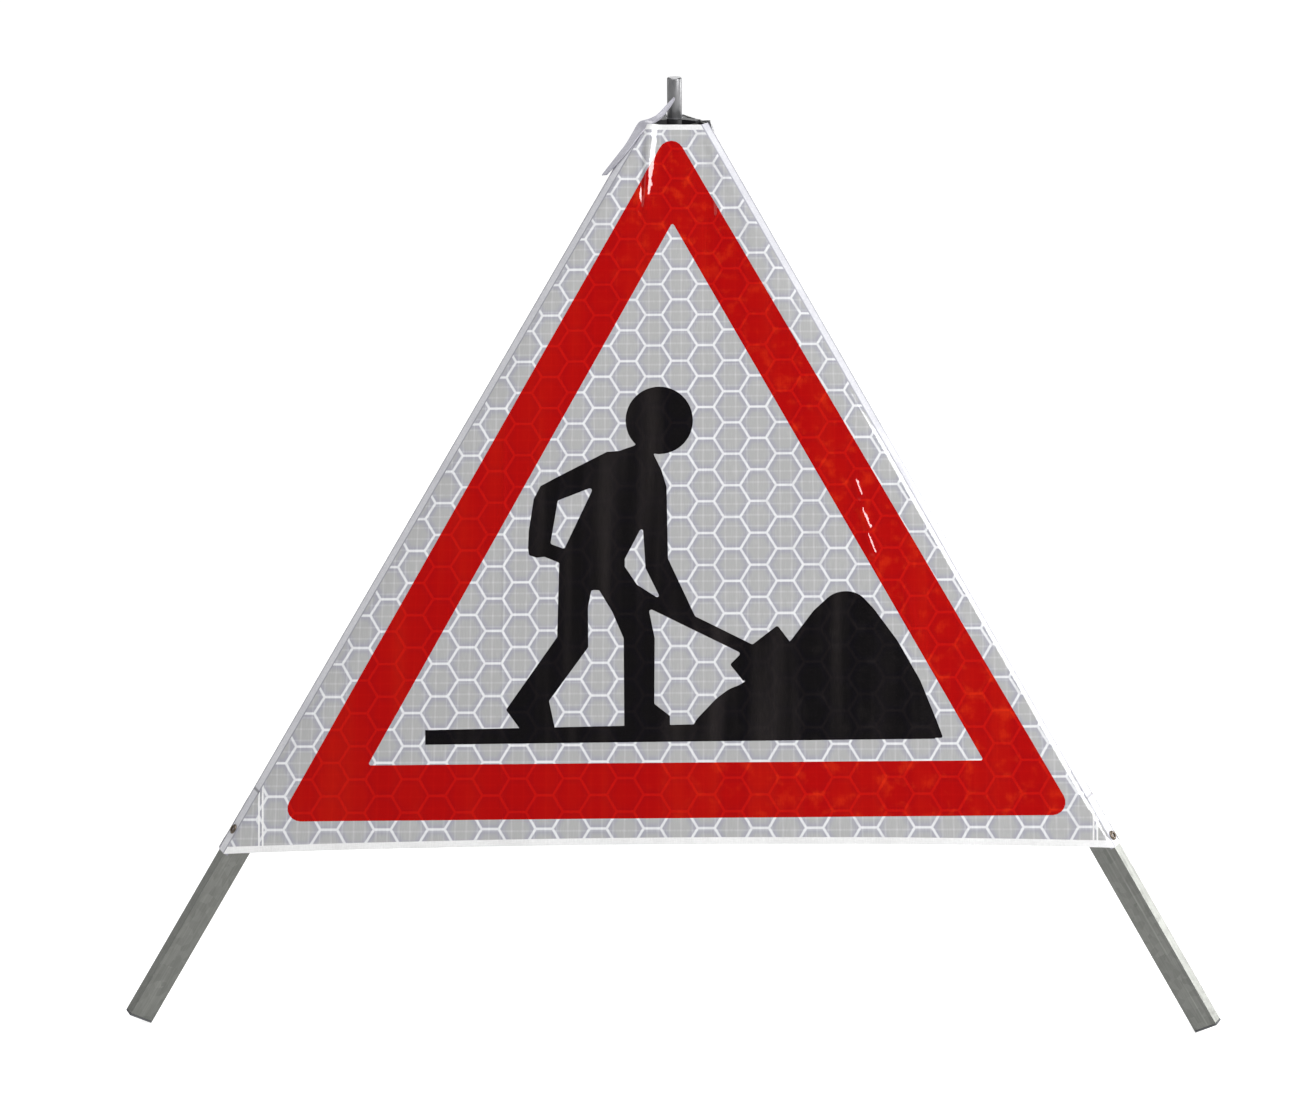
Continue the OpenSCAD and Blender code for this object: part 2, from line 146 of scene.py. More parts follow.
def end_finish(place, colour, roughness, fixed, height=None, depth=0.0001):
    sockets = dict(fixed)
    sockets["Base Color"] = colour
    sockets["Roughness"] = roughness
    if height is not None:
        sockets["Normal"] = place.node("ShaderNodeBump", {}, {"Height": height, "Distance": depth})
    shader = place.node("ShaderNodeBsdfPrincipled", {}, sockets)
    place.node("ShaderNodeOutputMaterial", {}, {"Surface": shader})


print("finish helpers ready")


# %% Patterns used by several finishes
def screen_colour(red, green, blue):
    """A colour as a screen shows it, 0 to 255, turned into the light values that a shader takes."""
    parts = [part / 255 for part in (red, green, blue)]
    light = [part / 12.92 if part <= 0.04045 else ((part + 0.055) / 1.055) ** 2.4 for part in parts]
    return (*light, 1)


def mix_colours(factor, first, second):
    """Two colours mixed. A Mix node has its colours at inputs 6 and 7, and the mixed one at output 2."""
    return factor.node("ShaderNodeMix", {"data_type": "RGBA"}, {0: factor, 6: first, 7: second}, 2)


def fade(value, low, high):
    """0 below low, 1 above high, smooth between them."""
    sockets = {"Value": value, "From Min": low, "From Max": high}
    return value.node("ShaderNodeMapRange", {"interpolation_type": "SMOOTHSTEP"}, sockets)


def noise(place, scale, detail=3.0):
    return place.node("ShaderNodeTexNoise", {}, {"Vector": place, "Scale": scale, "Detail": detail})


def run_along(place, way):
    """How far a place lies along a direction."""
    return place.node("ShaderNodeVectorMath", {"operation": "DOT_PRODUCT"}, {0: place, 1: way}, "Value")


def drawn_out(place, way, share=0.96):
    """The place pressed together along a direction, so that a pattern is drawn out along it."""
    pressed = {0: way, "Scale": run_along(place, way) * -share}
    shift = place.node("ShaderNodeVectorMath", {"operation": "SCALE"}, pressed)
    return place.node("ShaderNodeVectorMath", {"operation": "ADD"}, {0: place, 1: shift})


print("shader helpers ready")

# %% [markdown]
# ## Metal and plastic
#
# The legs are galvanised tube. Zinc freezes in flat crystals, so the grey has patches about a
# centimetre wide, with faint lines along the tube from the rolling mill. Bright steel, plated sheet,
# plastic and rivets get finishes of the same build with their own scale and gloss.

# %% Metal finishes
def steel_finish(name, greys, along=(0, 0, 1), spangle=0.25, rough=0.38, seam=None):
    """Metal with lines along a direction, crystal patches of some strength and perhaps a seam."""
    material, place = start_finish(name)
    lines = noise(drawn_out(place, along), scale=900.0, detail=2.0)
    streaks = noise(drawn_out(place, along, share=0.985), scale=330.0)
    crystal = place.node("ShaderNodeTexVoronoi", {}, {"Vector": place, "Scale": 120.0}, "Color")
    patches = crystal.node("ShaderNodeSeparateColor", {}, {0: crystal})
    cloud = noise(place, scale=16.0)
    marks = noise(drawn_out(place, along, share=0.8), scale=260.0, detail=4.0)
    scuff = fade(marks, low=0.64, high=0.72)
    tone = spangle * (patches - 0.5) + lines * 0.35 + streaks * 0.4 + cloud * 0.3 + scuff * 0.12
    if seam:
        tone = tone + seam(place)
    dark, light = (screen_colour(*grey) for grey in greys)
    roughness = rough + 0.12 * patches + 0.16 * scuff - 0.1 * lines
    height = lines + streaks
    colour = mix_colours(tone, dark, light)
    end_finish(place, colour, roughness, {"Metallic": 0.9}, height, depth=0.00006)
    return material


bright_steel = steel_finish("bright_steel", [(102, 102, 104), (200, 200, 202)], spangle=0.04, rough=0.42)
zinc_plate = steel_finish("zinc_plate", [(112, 112, 108), (172, 172, 164)])
zinc_pins = steel_finish("zinc_pins", [(122, 122, 118), (184, 184, 178)], spangle=0.06, rough=0.3)
rivet_metal = steel_finish("rivet_metal", [(74, 60, 60), (158, 146, 130)], spangle=0.08, rough=0.34)
spring_steel = steel_finish("spring_steel", [(62, 62, 66), (122, 122, 126)], spangle=0.04, rough=0.3)
print("metal finishes made")


# %% Plastic finishes
def plastic_finish(name, dark, light, rough):
    material, place = start_finish(name)
    grain = noise(place, scale=1500.0, detail=2.0)
    cloud = noise(place, scale=35.0)
    scuff = fade(noise(place, scale=180.0, detail=5.0), low=0.62, high=0.75)
    colour = mix_colours(cloud * 0.7 + scuff * 0.3, screen_colour(*dark), screen_colour(*light))
    end_finish(place, colour, rough + 0.12 * grain + 0.1 * scuff, {}, grain, depth=0.00012)
    return material


black_nylon = plastic_finish("black_nylon", dark=(13, 13, 16), light=(32, 32, 35), rough=0.42)
grey_plastic = plastic_finish("grey_plastic", dark=(72, 74, 76), light=(104, 106, 108), rough=0.45)
print("plastic finishes made")

# %% [markdown]
# ## Where the legs and faces are
#
# The cover follows the legs, so its shape is worked out from the model's own joints. A leg's frame has
# its hinge as origin and three directions: up along the tube, out through the outer face, and round to
# the next leg. Each wing of the cover folds about a leg's edge, so that joint's axis runs along the
# leg.

# %% Frames of the three legs
leg_depth = 0.030
leg_width = 0.015


class LegFrame:
    """Directions of one leg, with the hinge as origin."""

    def __init__(self, leg, wing_joint):
        self.hinge = Vector(joints[f"leg_{leg}_fold"]["pos_m"])
        edge = Vector(joints[wing_joint]["axis"])
        self.up = edge * math.copysign(1, edge.z)
        radial = Vector((self.hinge.x, self.hinge.y, 0)).normalized()
        self.round = Vector((0, 0, 1)).cross(radial)
        self.out = self.round.cross(self.up)

    def point(self, out, around, up):
        return self.hinge + self.out * out + self.round * around + self.up * up


legs = {
    "left": LegFrame("left", "front_cover_left_fold"),
    "right": LegFrame("right", "front_cover_right_fold"),
    "rear": LegFrame("rear", "right_cover_rear_fold"),
}
print("legs", list(legs))

# %% Frame of the front face
# The cover's upper and lower end along a leg, counted from the hinge.
cover_top = 0.007
cover_bottom = 0.968
# How far the lower edge rises in the middle, and how far a fold line lies from the middle.
cover_bow = 0.011
fold_line = 0.03735

right_top = legs["right"].point(leg_depth / 2, -leg_width / 2, cover_top)
right_low = legs["right"].point(leg_depth / 2, -leg_width / 2, -cover_bottom)
half_angle = math.asin(-legs["right"].up.x)
face_apex = right_top + legs["right"].up * (right_top.x / -legs["right"].up.x)
face_down = Vector((0, right_low.y - right_top.y, right_low.z - right_top.z)).normalized()
face_normal = Vector((1, 0, 0)).cross(face_down)
face_normal = face_normal * -math.copysign(1, face_normal.y)
face_top = (right_top - face_apex).dot(face_down)
face_bottom = (right_low - face_apex).dot(face_down)


def half_width(depth):
    return depth * math.tan(half_angle)


def lower_edge(x):
    share = x / half_width(face_bottom)
    return face_bottom - cover_bow * (1 - share * share)


def face_point(x, depth, lift):
    return face_apex + Vector((x, 0, 0)) + face_down * depth + face_normal * lift


print("face", round(2 * half_width(face_bottom), 3), "m wide at the bottom")

# %% [markdown]
# ## The print
#
# The face shows the common sign for roadworks: a red triangle with a figure that shovels a heap. Each
# shape is a loop of corner points in millimetres from the middle of the triangle, and a helper rounds
# the corners. The printed sheet sits on the face with a small tilt, as a sewn cover does.

# %% Loops of the print
print_middle = (0.0025, 0.5886)
print_tilt = math.radians(0.65)
# Millimetres in a metre, and the largest share of a side that the arc at a corner takes.
millimetres = 1000
longest_arc = 0.45


def rounded(corners, radius, steps=4):
    """The loop in metres, with an arc in place of each corner."""
    loop = []
    count = len(corners)
    for index in range(count):
        before, corner, after = (Vector(corners[(index + shift) % count]) for shift in (-1, 0, 1))
        room = longest_arc * min((before - corner).length, (after - corner).length)
        back, ahead = (before - corner).normalized(), (after - corner).normalized()
        half = back.angle(ahead) / 2
        reach = min(radius / math.tan(half), room)
        centre = corner + (back + ahead).normalized() * (reach / math.cos(half))
        start, end = corner + back * reach - centre, corner + ahead * reach - centre
        for step in range(steps + 1):
            spoke = start.slerp(end, step / steps).normalized() * start.length
            loop.append((centre + spoke) / millimetres)
    return loop


def turns(steps):
    """Angles that divide a full turn."""
    return [2 * math.pi * step / steps for step in range(steps)]


def circle(x, y, radius, steps=48):
    spots = [Vector((x + radius * math.cos(turn), y + radius * math.sin(turn))) for turn in turns(steps)]
    return [spot / millimetres for spot in spots]


red_outer = rounded([(-462.3, -269.6), (460, -265.6), (0, 531.2)], radius=15, steps=6)
red_inner = rounded([(-357, -204.5), (355.4, -202.2), (0.9, 421.8)], radius=2)
head = circle(-16, 193, radius=39)
worker = rounded([
    (-36, 174), (-45, 164), (-63, 158), (-77, 157), (-133, 129), (-154, 118), (-162, 103), (-168, 66),
    (-169, 46), (-168, 38), (-159, 35), (-150, 36), (-133, 29), (-136, -57), (-196, -141), (-175, -170),
    (-138, -170), (-146, -131), (-100, -69), (-100, -23), (-96, -3), (-87, -3), (-72, -28), (-59, -59),
    (-59, -170), (-6, -170), (-6, -149), (-24, -135), (-23, -59), (-30, -24), (77, -77), (64, -90),
    (79, -109), (120, -110), (134, -65), (119, -45), (90, -67), (24, -34), (-7, 33), (-8, 116),
    (-14, 136), (-22, 152), (-25, 166)], radius=2.5)
arm_gap = rounded([(-92, 117), (-134, 101), (-143, 51), (-127, 45)], radius=2.5)
waist_gap = rounded([(-36, 72), (-57, 33), (-57, 24), (-43, 3), (-15, -15), (-33, 22)], radius=2)
heap = rounded([
    (17, -170), (23, -155), (48, -129), (63, -118), (77, -113), (134, -63), (161, -28), (182, -9),
    (198, -5), (214, -9), (230, -26), (257, -63), (283, -109), (301, -154), (307, -170), (309, -176),
    (303, -176), (17, -174)], radius=40, steps=8)
ground_bar = rounded([(-290, -164), (25, -159), (300, -172), (300, -177), (-290, -181)], radius=0.5)
black_loops = [head, worker, heap, ground_bar]
gap_loops = [arm_gap, waist_gap]
print("print has", sum(len(loop) for loop in black_loops + gap_loops), "points in its figure")

# %% From the print to the face and back
def print_to_face(spot):
    across, below = spot[0], -spot[1]
    x = print_middle[0] + math.cos(print_tilt) * across + math.sin(print_tilt) * below
    depth = print_middle[1] + math.cos(print_tilt) * below - math.sin(print_tilt) * across
    return Vector((x, depth))


def face_to_print(x, depth):
    across, below = x - print_middle[0], depth - print_middle[1]
    right = math.cos(print_tilt) * across - math.sin(print_tilt) * below
    down = math.sin(print_tilt) * across + math.cos(print_tilt) * below
    return Vector((right, -down))


print("print's middle on the face", print_middle)

# %% [markdown]
# ## Reflective film
#
# The cover is a film of tiny prisms sealed to a fabric along a honeycomb of white lines. The cells look
# grey by day, the lines white. The ink lies over both, so red and black show the honeycomb too. One
# function draws the honeycomb from the print's own coordinates, which every sheet stores per point.
# The film is stretched a little more towards the hem, so its cells grow there.

# %% Honeycomb pattern
cell_column = 0.03058
cell_row = 0.03722
cell_middle = face_to_print(0.1002, 0.5808)
cell_growth = 0.083
hatch_step = 0.0128
# From where to where a seal line and a hatch line fade, counted from their middle.
seal_fade = (0.0007, 0.0021)
hatch_fade = (0.0004, 0.0016)
# From where to where the painted reflections of the film's ripples grow stronger, across and up the
# print.
sheen_across = (-0.12, 0.2)
sheen_up = (0.3, 0.5)


def film_spot(x, depth):
    """Where a place on the face lies on the film, which is stretched a little more towards the hem."""
    way = face_to_print(x, depth) - cell_middle
    return cell_middle + way * (1 + cell_growth * way.y)


def honeycomb(spot):
    """Distance from the nearest line of the honeycomb, in metres."""
    slant = math.hypot(cell_column, cell_row / 2)
    nearest = None
    for columns, rows in ((0, 0), (1, 0.5)):
        x = spot[0] - (cell_middle.x + columns * cell_column)
        y = spot[1] - (cell_middle.y + rows * cell_row)
        beside = x.math("PINGPONG", x, cell_column)
        above = y.math("PINGPONG", y, cell_row / 2)
        to_side = slant / 2 - (beside * (cell_column / slant) + above * (cell_row / 2 / slant))
        inside_cell = above.math("MINIMUM", cell_row / 2 - above, to_side)
        nearest = inside_cell if nearest is None else nearest.math("MAXIMUM", nearest, inside_cell)
    return nearest


def hatch(value, middle):
    """Soft lines a prism block apart."""
    line = value - middle
    return 1 - fade(line.math("PINGPONG", line, hatch_step / 2), *hatch_fade)


up_print = (0, 1, 0)
across_print = (1, 0, 0)


def film_finish(name, middle, rim, line, sheen_colour, sheen_gain, streak_sheen_gain):
    """Film with cells from a middle to a rim colour, seal lines, and lighter flecks and upright streaks
    that are painted reflections of its ripples.
    """
    material, place = start_finish(name)
    stored = place.node("ShaderNodeAttribute", {"attribute_name": "print"}, {}, "Vector")
    parts = [stored.node("ShaderNodeSeparateXYZ", {}, {0: stored}, index) for index in (0, 1)]
    from_line = honeycomb(parts)
    seal = 1 - fade(from_line, *seal_fade)
    blocks = hatch(parts[0], cell_middle.x) + hatch(parts[1], cell_middle.y)
    threads = noise(drawn_out(stored, up_print, share=0.9), scale=700.0)
    cloud = noise(stored, scale=9.0, detail=4.0)
    light = seal * 0.9 + blocks * 0.16 + (threads - 0.5) * 0.4 + (cloud - 0.5) * 0.2
    to_middle = fade(from_line, low=0.002, high=0.009)
    cell = mix_colours(to_middle, screen_colour(*rim), screen_colour(*middle))
    # Lighter flecks and upright streaks are painted reflections of the film's ripples, stronger towards
    # the right and the top of the print.
    sheen_fleck = fade(noise(stored, scale=52.0, detail=9.0), low=0.5, high=0.72)
    sheen_fleck = sheen_fleck * (0.3 + seal * 0.4 + threads * 0.8)
    streaks = noise(drawn_out(stored, up_print, share=0.93), scale=30.0, detail=2.0)
    streaks = fade(streaks, low=0.42, high=0.8) * (0.4 + threads)
    sheen_side = fade(parts[0], *sheen_across) * 0.8 + fade(parts[1], *sheen_up) * 0.8
    painted_sheen = sheen_fleck * sheen_side * sheen_gain + streaks * streak_sheen_gain
    colour = mix_colours(painted_sheen, mix_colours(light, cell, screen_colour(*line)), screen_colour(*sheen_colour))
    height = seal * -0.5 + threads * 0.25
    fixed = {"Coat Weight": 0.9, "Coat IOR": 1.7, "Coat Roughness": 0.05, "Specular IOR Level": 0.02}
    end_finish(place, colour, 0.42 + 0.15 * threads, fixed, height)
    return material


# Each film's sheen colour and gains set how strongly its ripples' reflections are painted.
film_white = film_finish("film_white", middle=(174, 174, 174), rim=(163, 163, 173), line=(232, 233, 235),
                         sheen_colour=(190, 190, 190), sheen_gain=0.4, streak_sheen_gain=0.1)
film_red = film_finish("film_red", middle=(172, 1, 1), rim=(166, 1, 4), line=(190, 10, 5),
                       sheen_colour=(222, 52, 12), sheen_gain=0.6, streak_sheen_gain=0.15)
film_black = film_finish("film_black", middle=(10, 8, 10), rim=(8, 6, 12), line=(20, 16, 18),
                         sheen_colour=(56, 51, 50), sheen_gain=0.15, streak_sheen_gain=0.5)
print("film finishes made")

# %% Plain border and back of the cover
# Up the leg, the top of the second layer at a strip's lower end, and how the painted shadow along that
# edge fades, with its grey.
patch_top = -0.889
patch_shadow_fade = (0.0006, 0.0026)
patch_shadow_grey = (96, 95, 104)
# From where to where, counted from its middle line, a strip turns round its leg's corner and gets
# painted shade there, with that shade's grey.
corner_shade_fade = (0.0050, 0.0073)
corner_shade_grey = (134, 133, 148)


def cloth_finish(name, dark, light, rough, coat, crease=0.0):
    """Coated fabric. Crease is how strongly shade is painted on a strip at the leg's corners, and a
    shadow along its patch's top edge.
    """
    material, place = start_finish(name)
    stored = place.node("ShaderNodeAttribute", {"attribute_name": "print"}, {}, "Vector")
    warp = noise(drawn_out(stored, up_print, share=0.85), scale=900.0, detail=2.0)
    weft = noise(drawn_out(stored, across_print, share=0.85), scale=900.0, detail=2.0)
    cloud = noise(stored, scale=16.0, detail=4.0)
    tone = fade(warp * 0.3 + weft * 0.3 + cloud * 0.4, low=0.3, high=0.7)
    colour = mix_colours(tone, screen_colour(*dark), screen_colour(*light))
    if crease:
        # Painted shade where the strip turns round the leg's corners.
        across, up = (stored.node("ShaderNodeSeparateXYZ", {}, {0: stored}, index) for index in (0, 1))
        turned = fade(across.math("ABSOLUTE", across), *corner_shade_fade)
        colour = mix_colours(turned * crease, colour, screen_colour(*corner_shade_grey))
        # A painted shadow along the top edge of the patch, where the second layer steps.
        patch_shadow = 1 - fade(up.math("ABSOLUTE", up - patch_top), *patch_shadow_fade)
        colour = mix_colours(patch_shadow * crease, colour, screen_colour(*patch_shadow_grey))
    fixed = {"Coat Weight": coat, "Coat Roughness": 0.1}
    end_finish(place, colour, rough + 0.1 * weft, fixed, warp + weft)
    return material


border = cloth_finish("border", (222, 222, 222), (246, 246, 246), rough=0.32, coat=0.5)
cover_back = cloth_finish("cover_back", (176, 178, 178), (206, 207, 206), rough=0.6, coat=0.0)
# The strips get painted shade at the leg's corners and a painted shadow along their patch.
edge_strip = cloth_finish("edge_strip", (200, 200, 208), (234, 234, 238), rough=0.3, coat=0.6,
                          crease=0.75)
flap_cloth = cloth_finish("flap_cloth", (170, 169, 180), (212, 211, 220), rough=0.3, coat=0.7)
print("border and back finishes made")

# %% [markdown]
# ## Cutting the face into triangles
#
# The print's outlines have to be crisp, so they are cut into the mesh and not painted on it. Blender
# has a triangulation that keeps given lines as edges. It gets the face's outline, the fold lines, the
# borders and the print, with a grid of points between them so that the sheet can bend.

# %% Lines that the mesh keeps
mesh_step = 0.010
hem = 0.008
top_band = 0.006
level_steps = 40

plan_points = []
plan_lines = []


def keep_line(points, closed=False, step=mesh_step):
    """Adds a line to the plan, divided into short steps."""
    ends = [Vector(point) for point in points]
    if closed:
        ends.append(ends[0])
    first = len(plan_points)
    for start, end in zip(ends, ends[1:]):
        pieces = max(1, math.ceil((end - start).length / step))
        for piece in range(pieces):
            plan_points.append(start.lerp(end, piece / pieces))
    if not closed:
        plan_points.append(ends[-1])
    last = len(plan_points) - 1
    plan_lines.extend((index, index + 1) for index in range(first, last))
    if closed:
        plan_lines.append((last, first))


def level_line(above):
    """A line beside the bowed lower edge, from one leg to the other."""
    half = half_width(face_bottom - above)
    spots = [Vector((half * (1 - 2 * step / level_steps), 0)) for step in range(level_steps + 1)]
    return [Vector((spot.x, lower_edge(spot.x) - above)) for spot in spots]


top_corners = [Vector((sign * half_width(face_top), face_top)) for sign in (-1, 1)]
outline = top_corners + level_line(0)
keep_line(outline, closed=True)
keep_line(level_line(hem))
band_half = half_width(face_top + top_band)
keep_line([(-band_half, face_top + top_band), (band_half, face_top + top_band)])
for loop in [red_outer, red_inner] + black_loops + gap_loops:
    keep_line([print_to_face(spot) for spot in loop], closed=True)
print("plan has", len(plan_points), "points on", len(plan_lines), "kept lines")

# %% Lines where the sheet bends
# The roll over a leg's edge, with lines along it that end short of the top and the hem.
roll_width = 0.020
roll_lines = (0.0015, 0.0035, 0.006, 0.009, 0.0125, 0.0165, roll_width)
roll_below_top = 0.020
roll_above_hem = 0.015
fold_sides = (-0.009, -0.006, -0.003, 0, 0.003, 0.006, 0.009)
# Each lower corner is a piece of film of its own, joined to the face by an upright weld.
weld_x = {-1: 0.4767, 1: 0.4889}
weld_half = 0.0032
weld_groove = 0.0012
weld_start = 0.002
patch_shift = {-1: Vector((0.0003, 0.007)), 1: Vector((0.011, 0.009))}
# Start, end, height and width of each crease, and lines across it as shares of its width.
crease_lines = (-2, -1.3, -0.65, 0, 0.65, 1.3, 2)
crease_steps = 8
creases = [
    ((0.2066, 0.4576), (0.2186, 0.4884), 0.0021, 0.0040),
    ((0.2139, 0.4917), (0.2283, 0.5247), 0.0021, 0.0040),
    ((0.2223, 0.5228), (0.2335, 0.5528), 0.0021, 0.0040),
    ((0.2620, 0.5750), (0.2900, 0.6600), 0.0010, 0.0050),
    ((-0.0215, 0.0000), (-0.0365, 0.1540), 0.0044, 0.0068),
    ((-0.1950, 0.3400), (-0.1963, 0.8900), 0.0005, 0.0016),
    ((0.0507, 0.1300), (0.0527, 0.1650), 0.0020, 0.0040),
    ((0.1200, 0.2400), (0.1500, 0.3300), 0.0008, 0.0060),
]


def from_weld(x):
    """Distance outward from the weld that joins a corner piece to the face."""
    return abs(x) - weld_x[math.copysign(1, x)]


for sign in (-1, 1):
    for away in roll_lines:
        shift = away / math.cos(half_angle)
        depths = (face_top + roll_below_top, face_bottom - roll_above_hem)
        keep_line([(sign * (half_width(depth) - shift), depth) for depth in depths])
    for away in fold_sides:
        x = fold_line + away
        keep_line([(sign * x, max(face_top, x / math.tan(half_angle))), (sign * x, lower_edge(x))])
    for away in (-weld_half, -weld_groove, weld_groove, weld_half):
        x = weld_x[sign] + away
        keep_line([(sign * x, x / math.tan(half_angle) + weld_start), (sign * x, lower_edge(x))])
for start, end, height, width in creases:
    line = Vector(end) - Vector(start)
    beside = Vector((-line.y, line.x)).normalized() * width
    for away in crease_lines:
        shifted = [Vector(start) + beside * away, Vector(end) + beside * away]
        keep_line(shifted, step=min(mesh_step, line.length / crease_steps))
print("plan now has", len(plan_points), "points")

# %% Triangles of the plan
def inside(x, y, loop):
    """True where a level line from the point crosses the loop an odd number of times."""
    odd = False
    for (ax, ay), (bx, by) in zip(loop, loop[1:] + loop[:1]):
        if (ay > y) != (by > y) and x < (bx - ax) * (y - ay) / (by - ay) + ax:
            odd = not odd
    return odd


rows = int((face_bottom - face_top) / mesh_step)
for row in range(1, rows):
    depth = face_top + (face_bottom - face_top) * row / rows
    reach = int(half_width(depth) / mesh_step) + 1
    for column in range(-reach, reach + 1):
        x = (column + 0.5 * (row % 2)) * mesh_step
        if inside(x, depth, outline):
            plan_points.append(Vector((x, depth)))

keep_all = 0
merge_distance = 1e-6
cut = delaunay_2d_cdt(plan_points, plan_lines, [], keep_all, merge_distance)
plan_points = cut[0]
WHITE, RED, BLACK, BORDER, BACK = range(5)


def zone_at(x, depth):
    weld = weld_groove < abs(from_weld(x)) < weld_half
    if weld or depth < face_top + top_band or lower_edge(x) - depth < hem:
        return BORDER
    spot = face_to_print(x, depth)
    if any(inside(*spot, loop) for loop in black_loops):
        return WHITE if any(inside(*spot, loop) for loop in gap_loops) else BLACK
    if inside(*spot, red_outer) and not inside(*spot, red_inner):
        return RED
    return WHITE


plan_faces = []
for corners in cut[2]:
    middle = sum((plan_points[corner] for corner in corners), Vector((0, 0))) / 3
    if inside(*middle, outline):
        strip = 0 if abs(middle.x) < fold_line else math.copysign(1, middle.x)
        plan_faces.append((corners, strip, zone_at(*middle)))
print("face cut into", len(plan_faces), "triangles")

# %% [markdown]
# ## The sheets of the cover
#
# Each face is three sheets: a middle strip and two wings, which fold against each other when the sign
# closes. The sheets are taut but not flat: they roll over the legs' edges, and a few creases catch the
# light. They lie lowest along the fold lines, so that wing and middle still meet when the sign is
# folded. One function gives the height of all three sheets, so they meet without a step.

# %% Height of the cover above the plane of the legs
sheet_thickness = 0.0006
# Height at a fold line, and how far from it the waves and creases reach their own height.
fold_lift = sheet_thickness
fold_reach = 0.05
fold_press = 0.003
# At a leg: the lip of the strip below the sheet, and the rise of the sheet before it rolls over.
lip = 0.005
lip_lift = 0.0015
roll_height = 0.0042
steepest = 0.05
# Towards the hem the sheet is pulled tight and loses a share of its rise.
tight_from = 0.76
tight_over = 0.10
tight_loss = 0.5
# Two slow waves, in radians per metre across and down, the second lower than the first.
wave_height = 0.0007
first_wave = (17, 9)
second_wave = (41, 13)
second_share = 0.5
# The larger this power, the later a crease fades towards its ends.
crease_end = 6
# Steps where the hem and the corner pieces lie on the face.
hem_step = 0.0004
hem_margin = 0.0005
weld_step = 0.0003
weld_margin = 0.0001


def ridge(x, depth, start, end, height, width):
    """A crease along a line, round across and fading at both ends."""
    line = Vector(end) - Vector(start)
    way = Vector((x, depth)) - Vector(start)
    share = min(1, max(0, way.dot(line) / line.length_squared))
    away = (way - line * share).length
    fade_out = 1 - (2 * share - 1) ** crease_end
    return height * fade_out * math.exp(-(away / width) ** 2)


def cover_height(x, depth, turn):
    """Low along the fold lines, so that wing and middle meet when folded, and round towards the legs."""
    to_edge = max(0, (half_width(depth) - abs(x)) * math.cos(half_angle))
    from_fold = abs(x) - fold_line
    if from_fold < 0:
        from_fold = (fold_line ** 2 - x ** 2) / (2 * fold_line)
    wing_width = max(2 * lip, half_width(depth) - fold_line)
    slope = min(steepest, roll_height / wing_width)
    over_lip = min(1, max(0, 2 - to_edge / lip))
    tight = 1 - tight_loss * min(1, max(0, (depth - tight_from) / tight_over))
    narrow = tight * slope * wing_width / roll_height
    roll = 1 - max(0, 1 - to_edge / (roll_width * narrow)) ** 2
    wave = math.sin(x * first_wave[0] + turn) * math.sin(depth * first_wave[1] + 2 * turn)
    wave += second_share * math.sin(x * second_wave[0] - depth * second_wave[1] + turn)
    height = fold_lift + (lip_lift - fold_lift) * over_lip
    height += (slope * from_fold * tight + wave_height * wave * min(1, from_fold / fold_reach)) * roll
    pressed = 1 - math.exp(-(from_fold / fold_press) ** 2)
    height += pressed * sum(ridge(x, depth, *crease) for crease in creases)
    if lower_edge(x) - depth < hem + hem_margin:
        height += hem_step
    if from_weld(x) > -weld_half - weld_margin:
        height += weld_step
    return height


print("cover rises", roll_height, "m towards the legs")


# %% Making a piece from points and faces
def add_piece(name, points, faces, finishes, body, replaced, face_finish=None):
    mesh = bpy.data.meshes.new(name)
    mesh.from_pydata(points, [], faces)
    for finish in finishes:
        mesh.materials.append(finish)
    if face_finish:
        mesh.polygons.foreach_set("material_index", face_finish)
    mesh.polygons.foreach_set("use_smooth", [True] * len(mesh.polygons))
    mesh.set_sharp_from_angle(angle=math.radians(40))
    mesh.validate()
    piece = bpy.data.objects.new(name, mesh)
    scene.collection.objects.link(piece)
    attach(piece, body)
    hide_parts(replaced)
    return piece


def store_print(piece, spots):
    stored = piece.data.attributes.new("print", "FLOAT_VECTOR", "POINT")
    stored.data.foreach_set("vector", [part for spot in spots for part in (spot[0], spot[1], 0)])


print("pieces can be added")


# %% Lower edge as it was pulled over the legs
# How far the lower edge is raised at each leg, and the depth from which the sheet follows.
hem_raised = {"leg_left": -0.003, "leg_right": 0.012, "leg_rear": 0.0}
pulled_from = 0.862


def pulled(x, depth, left, right):
    """Where a point of the plan lies when the lower edge is raised at the left and right leg."""
    share = 0.5 + 0.5 * x / half_width(depth)
    toward = share if right > left else 1 - share
    raised = min(left, right) + abs(right - left) * toward ** 2
    zone = lower_edge(x) - hem - pulled_from
    depth_there = depth - raised * min(1, max(0, (depth - pulled_from) / zone))
    side = math.copysign(1, x)
    seam = weld_x[side] + weld_half
    if depth > pulled_from and abs(x) > seam:
        pressed = (half_width(depth_there) - seam) / (half_width(depth) - seam)
        x = side * (seam + (abs(x) - seam) * pressed)
    return x, depth_there


print("lower edge raised", hem_raised)


